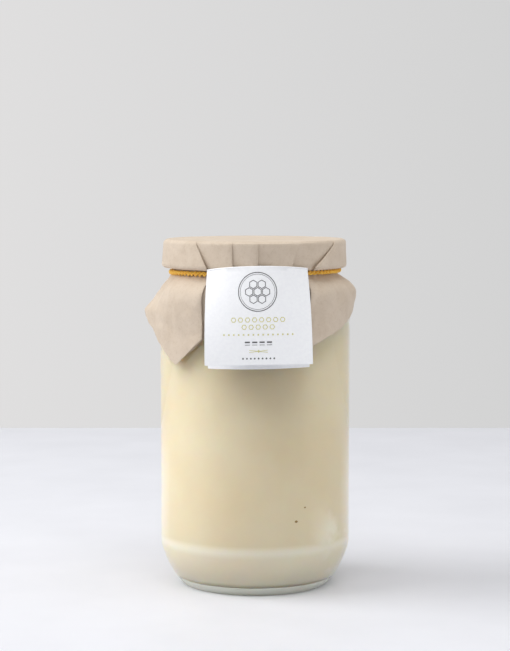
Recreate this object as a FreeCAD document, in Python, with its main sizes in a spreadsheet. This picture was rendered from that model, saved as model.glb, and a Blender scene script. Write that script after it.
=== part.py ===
import FreeCAD, Part
import math
import os

import Sketcher

# A jar of set honey: a glass jar with a twist-off lid, a square of kraft paper pleated over the lid,
# a twine tied round it under the lid, and a folded card that hangs on the twine.
# Millimetres, +Z up, the jar's axis on Z, the surface it stands on at Z = 0, its front towards -Y.

SIZES = {
    # glass jar
    "body_radius": 45.0,
    "wall": 2.5,
    "base_thickness": 5.0,
    "foot_radius": 34.9,
    "foot_width": 3.0,
    "push_up": 1.2,
    "foot_edge": 2.0,
    "heel_height": 19.6,
    "heel_round": 46.0,
    "heel_blend": 6.0,
    "floor_blend": 4.0,
    "shoulder_level": 128.0,
    "shoulder_blend": 7.0,
    "neck_level": 142.0,
    "neck_radius": 37.4,
    "neck_wall": 2.8,
    "neck_blend": 3.0,
    "rim_level": 163.1,
    "rim_edge": 0.8,
    # honey
    "honey_level": 132.0,
    # lid
    "lid_radius": 42.6,
    "lid_depth": 12.0,
    "lid_gauge": 0.4,
    "lid_edge": 1.3,
    # paper
    "paper_gauge": 0.35,
    "paper_gap": 0.25,
    "pleat_depth": 0.95,
    "skirt_side_drop": 17.5,
    "skirt_corner_drop": 41.5,
    "skirt_standoff": 1.7,
    "skirt_lift": 5.2,
    # twine
    "twine_thickness": 2.0,
    "twine_drop": 2.5,
    # tag
    "tag_width": 48.5,
    "tag_front_height": 44.0,
    "tag_back_height": 46.5,
    "tag_gauge": 0.3,
    "tag_stand": 8.5,
    "tag_gap": 0.15,
}

doc = FreeCAD.newDocument("honey_jar")
sheet = doc.addObject("Spreadsheet::Sheet", "Sizes")
for row, (alias, value) in enumerate(SIZES.items(), 1):
    sheet.set(f"A{row}", alias)
    sheet.set(f"B{row}", str(value))
    sheet.setAlias(f"B{row}", alias)
doc.recompute()


def size(expression):
    """The present value of an expression on the sheet, in millimetres."""
    value = sheet.evalExpression(expression)
    return float(getattr(value, "Value", value))


def named(text):
    """An expression over the sheet's aliases, from a short form such as 'body_radius - wall'."""
    words = text.split(" ")
    return " ".join(f"Sizes.{word}" if word in SIZES else word for word in words)


# ---- bodies of revolution -------------------------------------------------------------------------


def origin_plane(body, role):
    """One of a body's own origin planes."""
    return next(f for f in body.Origin.OriginFeatures if f.Role == role)


def half_section(body, name, corners, arcs):
    """A closed sketch on XZ: corners are (radius, height) expressions, arcs give a side's radius."""
    sketch = body.newObject("Sketcher::SketchObject", name)
    sketch.AttachmentSupport = [(origin_plane(body, "XZ_Plane"), "")]
    sketch.MapMode = "FlatFace"
    places = [FreeCAD.Vector(size(named(x)), size(named(z)), 0) for x, z in corners]
    count = len(places)
    for i, start in enumerate(places):
        end = places[(i + 1) % count]
        if i in arcs:
            radius = size(named(arcs[i]))
            chord = end - start
            outward = FreeCAD.Vector(chord.y, -chord.x, 0).normalize()
            rise = radius - math.sqrt(radius**2 - chord.Length**2 / 4)
            side = Part.Arc(start, (start + end) / 2 + outward * rise, end)
        else:
            side = Part.LineSegment(start, end)
        sketch.addGeometry(side, False)
    for i in range(count):
        sketch.addConstraint(Sketcher.Constraint("Coincident", i, 2, (i + 1) % count, 1))
    for i, (x, z) in enumerate(corners):
        for kind, text, value, axis in (("DistanceX", x, places[i].x, -2), ("DistanceY", z, places[i].y, -1)):
            if text == "0":
                sketch.addConstraint(Sketcher.Constraint("PointOnObject", i, 1, axis))
            else:
                number = sketch.addConstraint(Sketcher.Constraint(kind, i, 1, value))
                sketch.setExpression(f"Constraints[{number}]", named(text))
    for i, text in arcs.items():
        number = sketch.addConstraint(Sketcher.Constraint("Radius", i, size(named(text))))
        sketch.setExpression(f"Constraints[{number}]", named(text))
    return sketch


def revolved(label, corners, arcs=None):
    """A PartDesign body turned from a half section."""
    body = doc.addObject("PartDesign::Body", label)
    sketch = half_section(body, f"{label}_section", corners, arcs or {})
    turned = body.newObject("PartDesign::Revolution", f"{label}_turned")
    turned.Profile = sketch
    turned.ReferenceAxis = (sketch, ["V_Axis"])
    turned.Angle = 360
    sketch.Visibility = False
    doc.recompute()
    return body


def rounded(body, radius, *rings):
    """A fillet on the circular edges that have these (radius, height) expressions."""
    base = body.Tip
    wanted = [(size(named(x)), size(named(z))) for x, z in rings]
    edges = []
    for number, edge in enumerate(base.Shape.Edges, 1):
        if not isinstance(edge.Curve, Part.Circle):
            continue
        for ring_radius, height in wanted:
            if abs(edge.Curve.Radius - ring_radius) < 1e-4 and abs(edge.Curve.Center.z - height) < 1e-4:
                edges.append(f"Edge{number}")
    fillet = body.newObject("PartDesign::Fillet", f"{base.Name}_round")
    fillet.Base = (base, edges)
    fillet.setExpression("Radius", named(radius))
    base.Visibility = False
    doc.recompute()
    return fillet


def glass_outside():
    """The jar as if it were solid: foot ring with a push-up, curved heel, wall, shoulder and neck."""
    body = revolved(
        "glass_outside",
        [
            ("0", "push_up"),
            ("foot_radius - foot_width", "push_up"),
            ("foot_radius - foot_width", "0"),
            ("foot_radius", "0"),
            ("body_radius", "heel_height"),
            ("body_radius", "shoulder_level"),
            ("neck_radius", "neck_level"),
            ("neck_radius", "rim_level"),
            ("0", "rim_level"),
        ],
        {3: "heel_round"},
    )
    rounded(body, "foot_edge", ("foot_radius", "0"))
    rounded(body, "heel_blend", ("body_radius", "heel_height"))
    rounded(body, "shoulder_blend", ("body_radius", "shoulder_level"))
    rounded(body, "neck_blend", ("neck_radius", "neck_level"))
    rounded(body, "rim_edge", ("neck_radius", "rim_level"))
    return body


def glass_inside():
    """The space inside the glass, a wall's thickness in from the outside, open at the rim."""
    body = revolved(
        "glass_inside",
        [
            ("0", "base_thickness"),
            ("foot_radius", "base_thickness"),
            ("body_radius - wall", "heel_height"),
            ("body_radius - wall", "shoulder_level"),
            ("neck_radius - neck_wall", "neck_level"),
            ("neck_radius - neck_wall", "rim_level"),
            ("0", "rim_level"),
        ],
        {1: "heel_round - wall"},
    )
    rounded(body, "floor_blend", ("foot_radius", "base_thickness"))
    rounded(body, "heel_blend", ("body_radius - wall", "heel_height"))
    rounded(body, "shoulder_blend", ("body_radius - wall", "shoulder_level"))
    rounded(body, "neck_blend", ("neck_radius - neck_wall", "neck_level"))
    return body


def glass_and_honey():
    """The glass is the outside less the inside; the honey is the inside up to its level."""
    outside = glass_outside()
    inside = glass_inside()
    glass = doc.addObject("Part::Cut", "glass_jar")
    glass.Base = outside
    glass.Tool = inside
    filled = doc.addObject("Part::Cylinder", "filled_height")
    filled.setExpression("Radius", named("body_radius"))
    filled.setExpression("Height", named("honey_level"))
    honey = doc.addObject("Part::Common", "honey")
    honey.Base = inside
    honey.Tool = filled
    doc.recompute()
    return [glass, honey]


def lid():
    """A plain pressed cap whose top rests on the glass rim."""
    body = revolved(
        "lid",
        [
            ("0", "rim_level"),
            ("lid_radius - lid_gauge", "rim_level"),
            ("lid_radius - lid_gauge", "rim_level + lid_gauge - lid_depth"),
            ("lid_radius", "rim_level + lid_gauge - lid_depth"),
            ("lid_radius", "rim_level + lid_gauge"),
            ("0", "rim_level + lid_gauge"),
        ],
    )
    rounded(body, "lid_edge", ("lid_radius", "rim_level + lid_gauge"))
    rounded(body, "lid_edge - lid_gauge", ("lid_radius - lid_gauge", "rim_level"))
    return body


# ---- heights and radii that several pieces share ----------------------------------------------------

LID_TOP = size(named("rim_level + lid_gauge"))
LID_FOOT = size(named("rim_level + lid_gauge - lid_depth"))
TWINE_LEVEL = LID_FOOT - SIZES["twine_drop"]
BAND_RADIUS = SIZES["lid_radius"] + SIZES["paper_gap"] + SIZES["paper_gauge"]
# from the glass outwards at the neck: paper, the card's back leaf, twine
PAPER_NECK = SIZES["neck_radius"] + SIZES["paper_gauge"] + 2 * SIZES["paper_gap"]
TAG_NECK = PAPER_NECK + SIZES["tag_gap"] + SIZES["tag_gauge"] / 2


def twine():
    """A ring drawn tight round the paper and the card's back leaf, under the lid."""
    ring = doc.addObject("Part::Torus", "twine")
    under_twine = "neck_radius + paper_gauge + 2 * paper_gap + 2 * tag_gap + tag_gauge"
    ring.setExpression("Radius1", named(under_twine + " + twine_thickness / 2"))
    ring.setExpression("Radius2", named("twine_thickness / 2"))
    ring.setExpression("Placement.Base.z", named("rim_level + lid_gauge - lid_depth - twine_drop"))
    return ring


# ---- thin folded pieces -------------------------------------------------------------------------------


def smooth(x):
    x = min(max(x, 0.0), 1.0)
    return x * x * (3 - 2 * x)


def bump(angle, centre, width):
    """1 at a centre azimuth, falling smoothly to 0 at width degrees away."""
    away = abs((angle - centre + 180) % 360 - 180)
    return smooth(1 - away / width)


def at(angle, radius, height):
    """A point at an azimuth in degrees, 0 at the front and positive towards +X."""
    turn = math.radians(angle)
    return FreeCAD.Vector(radius * math.sin(turn), -radius * math.cos(turn), height)


def closed_solid(points, facets):
    """A solid of triangles, given as the numbers of their corners, turned so that it isn't inside out."""
    shell = Part.Shape()
    shell.makeShapeFromMesh((points, facets), 1e-4)
    solid = Part.makeSolid(Part.makeShell(shell.Faces))
    if solid.Volume < 0:
        solid.reverse()
    return solid


# Pleats run down the band. Each has its azimuth at the lid's edge, at the lid's foot and under the twine,
# and says whether the paper on its left (-1) or on its right (+1) lies on top.
PLEATS = [
    (-158.0, -163.0, -166.0, -1),
    (-124.0, -118.0, -116.0, 1),
    (-82.0, -88.0, -90.0, 1),
    (-39.7, -30.6, -31.0, -1),
    (-13.8, -13.5, -13.0, -1),
    (1.9, 1.5, 2.0, -1),
    (27.0, 22.0, 16.0, -1),
    (60.7, 38.5, 27.0, 1),
    (98.0, 104.0, 105.0, 1),
    (131.0, 138.0, 141.0, -1),
    (166.0, 160.0, 158.0, 1),
]
# half the width of a pleat's step and the widest column of a panel, in degrees
PLEAT_EDGE = 0.55
COLUMN_STEP = 6.5
# how far a panel's middle stands out past its two sides, as a share of the pleats' depth
PANEL_CROWN = 0.25
# the skirt leaves the neck this far below the twine's middle, and its pleats start this far on their way
# from the lid's foot (1) to the skirt's edge (2)
SKIRT_START = 0.8
SKIRT_DEPTH = 1.3

# The sheet is square: its four corners hang lowest, and the middles of its sides are highest (azimuths).
CORNERS = [-50.0, 21.0, 128.0, -141.0]
SIDES = [-92.0, -14.0, 91.0, 173.0]


def lower_edge(angle):
    """How far the skirt hangs below the twine at an azimuth: straight from each side to each corner."""
    ring = sorted(
        [(a, SIZES["skirt_corner_drop"]) for a in CORNERS] + [(a, SIZES["skirt_side_drop"]) for a in SIDES]
    )
    ring = [(ring[-1][0] - 360, ring[-1][1])] + ring + [(ring[0][0] + 360, ring[0][1])]
    angle = (angle + 180) % 360 - 180
    for (a, low), (b, high) in zip(ring, ring[1:]):
        if a <= angle <= b:
            return low + (high - low) * (angle - a) / (b - a)


# The skirt swings out from the neck, in a drop of about half the width that it swings. Its free edge is
# lifted at the left side, belly is how far the right side bulges half way down, and elsewhere the edge tucks
# back in. At the front the card presses it in, between the twine and the glass's shoulder.
SWING_RATIO = 0.477
SWING_POWER = 1.5
PRESS, PRESS_WIDTH, PRESS_END = 1.2, 45.0, 0.9
LIFT_AT, LIFT_WIDTH = SIDES[0], 40.0
BELLY, BELLY_AT, BELLY_WIDTH, BELLY_SPREAD = 1.0, 88.0, 60.0, 0.08
TUCK_SHARE, TUCK_START, TUCK_CLEAR = 0.55, 0.6, 45.0


def skirt_radius(angle, drop):
    """The radius at which the skirt hangs, from its azimuth and how far it is below its start."""
    hang = SIZES["body_radius"] + SIZES["paper_gauge"] + SIZES["skirt_standoff"]
    swing = hang - PAPER_NECK
    spread = 1 - math.exp(-((drop / (SWING_RATIO * swing)) ** SWING_POWER))
    full = drop / SIZES["skirt_side_drop"]
    lift = SIZES["skirt_lift"] * bump(angle, LIFT_AT, LIFT_WIDTH) * smooth(full)
    belly = BELLY * bump(angle, BELLY_AT, BELLY_WIDTH) * math.exp(-((full - 0.5) ** 2) / BELLY_SPREAD)
    loose = smooth(full - TUCK_START) * (1 - bump(angle, LIFT_AT, TUCK_CLEAR))
    tuck = TUCK_SHARE * SIZES["skirt_standoff"] * loose
    press = PRESS * bump(angle, 0, PRESS_WIDTH) * spread * smooth(2 * (PRESS_END - full))
    return PAPER_NECK + swing * spread + lift + belly - tuck - press


def paper_rows():
    """Rows from the middle of the top to the skirt's edge: (kind, value, how far the pleats stand out).

    A ring's value is (radius, height); a skirt row's is its share of the way down to the edge.
    """
    edge = SIZES["lid_edge"] + SIZES["paper_gap"] + SIZES["paper_gauge"]
    top = LID_TOP + SIZES["paper_gap"] + SIZES["paper_gauge"]
    under = LID_FOOT - SIZES["paper_gap"] - SIZES["paper_gauge"]
    turn = 0.3 * edge
    return [
        ("ring", (BAND_RADIUS * 0.5, top), 0.0),
        ("ring", (BAND_RADIUS - edge, top), 0.0),
        ("ring", (BAND_RADIUS - 0.27 * edge, top - 0.27 * edge), 0.2),
        ("ring", (BAND_RADIUS, top - edge), 0.5),
        ("ring", (BAND_RADIUS, 0.75 * top + 0.25 * under), 0.7),
        ("ring", (BAND_RADIUS, 0.5 * top + 0.5 * under), 0.85),
        ("ring", (BAND_RADIUS, 0.3 * top + 0.7 * under), 0.95),
        ("ring", (BAND_RADIUS, under + edge), 1.0),
        ("ring", (BAND_RADIUS - turn, under), 0.8),
        ("ring", (PAPER_NECK + turn, under), 0.0),
        ("ring", (PAPER_NECK, under - turn), 0.0),
        ("ring", (PAPER_NECK, TWINE_LEVEL - SKIRT_START), 0.0),
        ("skirt", 0.12, 0.5),
        ("skirt", 0.28, 0.8),
        ("skirt", 0.5, 0.9),
        ("skirt", 0.75, 0.8),
        ("skirt", 1.0, 0.7),
    ]


def paper_columns():
    """Columns of the paper: which two pleats they run between, and how far across that panel.

    The sheet's corners and the middles of its sides get a column each, so that they stay sharp.
    """
    columns = []
    for k, left in enumerate(PLEATS):
        right = PLEATS[(k + 1) % len(PLEATS)]
        start = left[2] + PLEAT_EDGE
        span = (right[2] - left[2]) % 360 - 2 * PLEAT_EDGE
        widest = max((right[row] - left[row]) % 360 for row in range(3))
        steps = max(2, round(widest / COLUMN_STEP))
        shares = [i / steps for i in range(steps + 1)]
        for mark in CORNERS + SIDES:
            share = ((mark - start) % 360) / span
            if share < 1:
                nearest = min(range(1, steps), key=lambda i: abs(shares[i] - share))
                shares[nearest] = share
        columns += [(left, right, share) for share in shares]
    return columns


def column_angle(left, right, share, depth):
    """A column's azimuth; depth is 0 at the lid's edge, 1 at its foot, and 2 at the skirt's edge."""

    def line(pleat):
        if depth <= 1:
            return pleat[0] + (pleat[1] - pleat[0]) * depth
        return pleat[1] + (pleat[2] - pleat[1]) * min(depth - 1, 1)

    start = line(left) + PLEAT_EDGE
    span = (line(right) - line(left)) % 360 - 2 * PLEAT_EDGE
    return start + span * share


def pleat_height(left, right, share):
    """A panel stands out where it lies on the pleat beside it, and dips where it runs under one."""
    from_left = 1.0 if left[3] > 0 else 0.0
    to_right = 1.0 if right[3] < 0 else 0.0
    crown = PANEL_CROWN * math.sin(math.pi * share)
    return from_left + (to_right - from_left) * share + crown


def paper_outline(left, right, share):
    """One column's outside points from the middle of the top to the lower edge, as (angle, radius, z)."""
    rows = paper_rows()
    top = rows[0][1][1]
    foot = LID_FOOT
    line = []
    for kind, value, stand in rows:
        if kind == "ring":
            radius, height = value
            depth = (top - height) / (top - foot)
            angle = column_angle(left, right, share, depth)
        else:
            angle = column_angle(left, right, share, SKIRT_DEPTH + (2 - SKIRT_DEPTH) * value)
            drop = value * lower_edge(angle)
            radius = skirt_radius(angle, drop)
            height = TWINE_LEVEL - SKIRT_START - drop
        radius += stand * SIZES["pleat_depth"] * pleat_height(left, right, share)
        line.append((angle, radius, height))
    return line


def paper_cover():
    """The pleated sheet as one thin closed solid: outside and inside grids joined at the lower edge."""
    columns = [paper_outline(*column) for column in paper_columns()]
    rows = len(columns[0])
    count = len(columns)
    gauge = SIZES["paper_gauge"]
    top = columns[0][0][2]
    points = [FreeCAD.Vector(0, 0, top), FreeCAD.Vector(0, 0, top - gauge)]
    for line in columns:
        for j, (angle, radius, height) in enumerate(line):
            before = line[max(j - 1, 0)]
            after = line[min(j + 1, rows - 1)]
            across = after[1] - before[1]
            down = before[2] - after[2]
            length = math.hypot(across, down)
            points.append(at(angle, radius, height))
            points.append(at(angle, radius - gauge * down / length, height - gauge * across / length))
    facets = []

    def place(column, row, side):
        return 2 + 2 * ((column % count) * rows + row) + side

    for i in range(count):
        facets.append((0, place(i, 0, 0), place(i + 1, 0, 0)))
        facets.append((1, place(i + 1, 0, 1), place(i, 0, 1)))
        for j in range(rows - 1):
            a, b = place(i, j, 0), place(i + 1, j, 0)
            c, d = place(i, j + 1, 0), place(i + 1, j + 1, 0)
            facets += [(a, c, b), (b, c, d)]
            facets += [(a + 1, b + 1, c + 1), (b + 1, d + 1, c + 1)]
        a, b = place(i, rows - 1, 0), place(i + 1, rows - 1, 0)
        facets += [(a, a + 1, b), (b, a + 1, b + 1)]
    cover = doc.addObject("Part::Feature", "paper_cover")
    cover.Shape = closed_solid(points, facets)
    return cover


# the fold's height over the lid's foot, and the columns across the card
TAG_RISE = 1.6
TAG_STEPS = 12


def before_skirt(level, clear):
    """A distance from the jar's axis that clears the front of the skirt at a height."""
    skirt = skirt_radius(0, TWINE_LEVEL - SKIRT_START - level)
    stand = (1 + PANEL_CROWN) * SIZES["pleat_depth"]
    return skirt + stand + SIZES["tag_gap"] + SIZES["tag_gauge"] / 2 + clear


def tag_stations():
    """The card's path up the front, over the fold and down the back, at its middle and its bend in plan.

    Each station is (distance of the middle from the jar's axis, height, radius of the bend in plan).
    """
    gap = SIZES["tag_gap"] + SIZES["tag_gauge"] / 2
    turn = 3 * SIZES["tag_gauge"]
    reach = BAND_RADIUS + (1 + PANEL_CROWN) * SIZES["pleat_depth"] + gap
    front_reach = reach + turn
    fold = LID_FOOT + TAG_RISE
    under = LID_FOOT - SIZES["paper_gap"] - SIZES["paper_gauge"] - gap
    over_twine = TWINE_LEVEL + SIZES["twine_thickness"] / 2 + gap
    below_twine = TWINE_LEVEL - 0.3 * SIZES["twine_thickness"]
    front = SIZES["tag_front_height"]
    back = SIZES["tag_back_height"]
    stand = SIZES["tag_stand"]
    leave_neck = before_skirt(TWINE_LEVEL - 4.0, 0.8)
    on_skirt = before_skirt(TWINE_LEVEL - 8.5, 0.9)
    flat = 12 * SIZES["tag_width"]
    return [
        (before_skirt(fold - front, stand), fold - front, flat),
        (before_skirt(fold - 0.62 * front, 0.53 * stand), fold - 0.62 * front, 2.5 * front_reach),
        (before_skirt(fold - 0.25 * front, 0.26 * stand), fold - 0.25 * front, 1.4 * front_reach),
        (front_reach, fold - turn, front_reach),
        (reach + turn / 2, fold, reach + turn / 2),
        (reach, fold - turn, reach),
        (reach, under, reach),
        (TAG_NECK + turn, over_twine, TAG_NECK + turn),
        (TAG_NECK, over_twine - turn / 2, TAG_NECK),
        (TAG_NECK, below_twine, TAG_NECK),
        (leave_neck, TWINE_LEVEL - 4.0, leave_neck),
        (on_skirt, TWINE_LEVEL - 8.5, on_skirt),
        (before_skirt(fold - 0.4 * back, 0.9), fold - 0.4 * back, 1.1 * on_skirt),
        (before_skirt(fold - back, 0.62 * stand), fold - back, 2 * reach),
    ]


def tag():
    """The folded card as one thin closed solid."""
    stations = tag_stations()
    steps = TAG_STEPS
    gauge = SIZES["tag_gauge"]
    middle = []
    for reach, height, bend in stations:
        row = []
        for i in range(steps + 1):
            turn = (i / steps - 0.5) * SIZES["tag_width"] / bend
            row.append(
                FreeCAD.Vector(bend * math.sin(turn), bend * (1 - math.cos(turn)) - reach, height)
            )
        middle.append(row)
    rows = len(stations)
    points = []
    for j in range(rows):
        for i in range(steps + 1):
            along = middle[min(j + 1, rows - 1)][i] - middle[max(j - 1, 0)][i]
            across = middle[j][min(i + 1, steps)] - middle[j][max(i - 1, 0)]
            outward = across.cross(along).normalize()
            points.append(middle[j][i] + outward * (gauge / 2))
            points.append(middle[j][i] - outward * (gauge / 2))

    def place(j, i, side):
        return 2 * (j * (steps + 1) + i) + side

    facets = []
    for j in range(rows - 1):
        for i in range(steps):
            a, b = place(j, i, 0), place(j, i + 1, 0)
            c, d = place(j + 1, i, 0), place(j + 1, i + 1, 0)
            facets += [(a, b, c), (b, d, c)]
            facets += [(a + 1, c + 1, b + 1), (b + 1, c + 1, d + 1)]
        for i in (0, steps):
            a, c = place(j, i, 0), place(j + 1, i, 0)
            side = [(a, c, a + 1), (c, c + 1, a + 1)]
            facets += side if i == 0 else [face[::-1] for face in side]
    for j in (0, rows - 1):
        for i in range(steps):
            a, b = place(j, i, 0), place(j, i + 1, 0)
            side = [(a, a + 1, b), (b, a + 1, b + 1)]
            facets += side if j == 0 else [face[::-1] for face in side]
    card = doc.addObject("Part::Feature", "tag")
    card.Shape = closed_solid(points, facets)
    return card


# ---- build, check and write ---------------------------------------------------------------------------

pieces = glass_and_honey() + [lid(), paper_cover(), twine(), tag()]
doc.recompute()

for thing in doc.Objects:
    if "Invalid" in thing.State or "Error" in thing.State:
        raise RuntimeError(f"{thing.Name} did not build: {thing.State}")
for piece in pieces:
    if piece.Shape.isNull() or not piece.Shape.isValid():
        raise RuntimeError(f"{piece.Label} has no valid shape")

os.makedirs("parts", exist_ok=True)
for piece in pieces:
    box = piece.Shape.BoundBox
    print(
        f"{piece.Label}: {len(piece.Shape.Solids)} solid, {piece.Shape.Volume / 1000:.2f} ml,"
        f" {box.XLength:.1f} x {box.YLength:.1f} x {box.ZLength:.1f} mm, z {box.ZMin:.2f} to {box.ZMax:.2f}"
    )
    piece.Shape.exportStep(f"parts/{piece.Label}.step")
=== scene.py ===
# %% [markdown]
# # A jar of set honey
# A glass jar of pale set honey under a square of kraft paper. The paper is pleated over the lid and tied
# with mustard twine, and a folded card hangs on the twine. The solid model gives every size and place;
# these cells make the surfaces that the eye judges: glass, honey, paper, twine and card.

# %% Load the frame
import math
import random

import bpy
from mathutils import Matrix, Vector, noise


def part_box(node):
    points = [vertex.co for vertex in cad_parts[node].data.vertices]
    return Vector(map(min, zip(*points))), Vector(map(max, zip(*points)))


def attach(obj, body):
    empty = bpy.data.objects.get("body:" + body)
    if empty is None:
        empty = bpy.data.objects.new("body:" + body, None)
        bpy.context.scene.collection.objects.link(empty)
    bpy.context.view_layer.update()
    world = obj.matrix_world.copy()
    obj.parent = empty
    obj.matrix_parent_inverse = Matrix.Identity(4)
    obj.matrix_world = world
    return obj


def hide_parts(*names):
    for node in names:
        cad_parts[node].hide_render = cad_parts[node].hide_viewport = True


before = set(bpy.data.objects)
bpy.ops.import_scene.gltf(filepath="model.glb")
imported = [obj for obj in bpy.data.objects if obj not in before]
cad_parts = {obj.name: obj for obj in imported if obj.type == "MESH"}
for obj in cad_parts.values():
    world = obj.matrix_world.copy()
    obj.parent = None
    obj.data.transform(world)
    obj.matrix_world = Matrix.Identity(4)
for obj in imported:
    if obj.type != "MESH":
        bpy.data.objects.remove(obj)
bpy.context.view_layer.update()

MM = 0.001

# %% [markdown]
# ## Sizes that the pieces share
# Every piece is placed from the boxes of the solid model: the glass gives the body's radius and the rim, the
# lid gives its edge and foot, the twine's ring gives the neck. What a box can't tell, such as how thick the
# glass is or how far a fold laps, is named here in millimetres.

# %% Shared sizes, in millimetres
def span(node):
    """A node's box in millimetres, as (low corner, high corner)."""
    low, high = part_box(node)
    return Vector(low) / MM, Vector(high) / MM


glass_high = span("glass_jar")[1]
lid_low, lid_high = span("lid")
honey_low, honey_high = span("honey")
twine_low, twine_high = span("twine")
paper_high = span("paper_cover")[1]
tag_low, tag_high = span("tag")

BODY_RADIUS = glass_high.x
WALL = BODY_RADIUS - honey_high.x
BASE = honey_low.z
RIM = glass_high.z
HONEY_LEVEL = honey_high.z
LID_RADIUS = lid_high.x
LID_FOOT = lid_low.z
TWINE_LEVEL = (twine_low.z + twine_high.z) / 2
TWINE_WIDTH = twine_high.z - twine_low.z
TWINE_RADIUS = twine_high.x - TWINE_WIDTH / 2
PAPER_TOP = paper_high.z
print("body radius", round(BODY_RADIUS, 2), "wall", round(WALL, 2), "twine at", round(TWINE_LEVEL, 2))

# %% [markdown]
# ## Camera and light
# The camera stands about 90 cm off and a little above the jar, looking slightly down, with a long lens. It
# comes first, so that every later choice can be judged from it.

# %% Camera
CAMERA_DISTANCE = 901.7
CAMERA_HEIGHT = 195.5
CAMERA_PITCH = 4.61
CAMERA_LENS = 105.07

bpy.ops.object.select_all(action="DESELECT")
bpy.ops.object.camera_add(
    location=(0, -CAMERA_DISTANCE * MM, CAMERA_HEIGHT * MM),
    rotation=(math.radians(90 - CAMERA_PITCH), 0, 0),
)
camera = bpy.context.object
camera.data.lens = CAMERA_LENS
camera.data.sensor_width = 36
bpy.context.scene.camera = camera
bpy.context.scene.view_settings.view_transform = "Standard"
print("camera:", CAMERA_DISTANCE, "mm off, lens", CAMERA_LENS)

# %% [markdown]
# ## How materials are written
# Colours are written as sRGB hex, the way a paint chart gives them, and turned to the linear values that a
# shader works in. One function adds any node, so that each material below reads as a list of its parts.

# %% Material helpers
NOISE, RAMP = "ShaderNodeTexNoise", "ShaderNodeValToRGB"
MATH, RANGE = "ShaderNodeMath", "ShaderNodeMapRange"
PRINCIPLED = "ShaderNodeBsdfPrincipled"


def linear(hex_colour):
    """An sRGB hex colour as linear RGBA."""
    parts = [int(hex_colour[i:i + 2], 16) / 255 for i in (1, 3, 5)]
    return [c / 12.92 if c <= 0.04045 else ((c + 0.055) / 1.055) ** 2.4 for c in parts] + [1.0]


def add(tree, kind, settings=None, inputs=None, links=None, stops=()):
    """Adds a node: its settings, input values, what feeds its inputs, and (position, colour) stops."""
    node = tree.nodes.new(kind)
    for name, value in (settings or {}).items():
        setattr(node, name, value)
    for name, value in (inputs or {}).items():
        node.inputs[name].default_value = value
    for name, socket in (links or {}).items():
        tree.links.new(socket, node.inputs[name])
    if stops:
        elements = node.color_ramp.elements
        while len(elements) < len(stops):
            elements.new(0.5)
        for element, (place, colour) in zip(elements, stops):
            element.position = place
            element.color = linear(colour)
    return node


def material(name):
    """A new material: itself, its node tree, the piece's own coordinates and the output node."""
    made = bpy.data.materials.new(name)
    made.use_nodes = True
    tree = made.node_tree
    tree.nodes.clear()
    where = add(tree, "ShaderNodeTexCoord").outputs["Object"]
    return made, tree, where, add(tree, "ShaderNodeOutputMaterial")


# %% [markdown]
# ## Light
# A broad soft lamp at the left, another overhead, a weak fill at the right and a pale room, at a level where
# a colour renders about as it is written. The room is two backgrounds: the wall that the camera, gloss and
# glass see, and a dimmer white that lights the jar. The wall is pale, and the pale pieces don't wash out.

# %% Room and lamps
# Painted shade on the wall: the wall that the camera sees is lighter towards the left, where the lamps stand,
# and darker towards the right.
WALL_SPREAD = 0.14
WALL_LEFT = "#E0DFDF"
WALL_RIGHT = "#D3D3D3"
ROOM_LIGHT = 0.41

world = bpy.data.worlds.new("pale_room")
bpy.context.scene.world = world
world.use_nodes = True
tree = world.node_tree
tree.nodes.clear()
path = add(tree, "ShaderNodeLightPath")
seen = add(tree, MATH, {"operation": "MAXIMUM"},
           links={0: path.outputs["Is Camera Ray"], 1: path.outputs["Is Glossy Ray"]})
seen = add(tree, MATH, {"operation": "MAXIMUM"},
           links={0: seen.outputs[0], 1: path.outputs["Is Transmission Ray"]})
way = add(tree, "ShaderNodeSeparateXYZ",
          links={"Vector": add(tree, "ShaderNodeTexCoord").outputs["Generated"]})
across = add(tree, RANGE, inputs={"From Min": -WALL_SPREAD, "From Max": WALL_SPREAD},
             links={"Value": way.outputs["X"]})
wall = add(tree, RAMP, links={"Fac": across.outputs[0]},
           stops=[(0.0, WALL_LEFT), (1.0, WALL_RIGHT)])
shown = add(tree, "ShaderNodeBackground", inputs={"Strength": 1.0}, links={"Color": wall.outputs["Color"]})
light = add(tree, "ShaderNodeBackground", inputs={"Color": linear("#FFFFFF"), "Strength": ROOM_LIGHT})
mixed = add(tree, "ShaderNodeMixShader",
            links={0: seen.outputs[0], 1: light.outputs[0], 2: shown.outputs[0]})
add(tree, "ShaderNodeOutputWorld", links={"Surface": mixed.outputs[0]})

LAMP_AIM = (0, 0, 0.08)


def soft_lamp(name, place, size, watts):
    """An area lamp aimed at the jar's middle; its place and size are in metres."""
    bpy.ops.object.select_all(action="DESELECT")
    bpy.ops.object.light_add(type="AREA", location=place)
    lamp = bpy.context.object
    lamp.name = name
    lamp.data.shape = "RECTANGLE"
    lamp.data.size, lamp.data.size_y = size
    lamp.data.energy = watts
    lamp.rotation_euler = (Vector(LAMP_AIM) - Vector(place)).to_track_quat("-Z", "Y").to_euler()
    return lamp


soft_lamp("window_left", (-1.05, -0.05, 1.00), (1.0, 1.0), 12.2)
soft_lamp("skylight", (0.05, -0.40, 1.40), (1.0, 1.0), 7.5)
fill = soft_lamp("fill_right", (1.30, 0.00, 0.45), (0.9, 0.9), 2.7)
fill.visible_glossy = False

# %% [markdown]
# ## The table
# A pale painted top, nearly even, so the jar's shadow shows on it. It ends behind the jar, where the wall
# begins, and it is wide enough that its other edges stay out of view.

# %% Table
TABLE_BACK = 545.0
TABLE_FRONT = 2000
TABLE_WIDTH = 4.0
TABLE_DEPTH = 0.04
TABLE_CLOUDS = 18.0  # faint clouds in the paint, about 55 mm across

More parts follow.
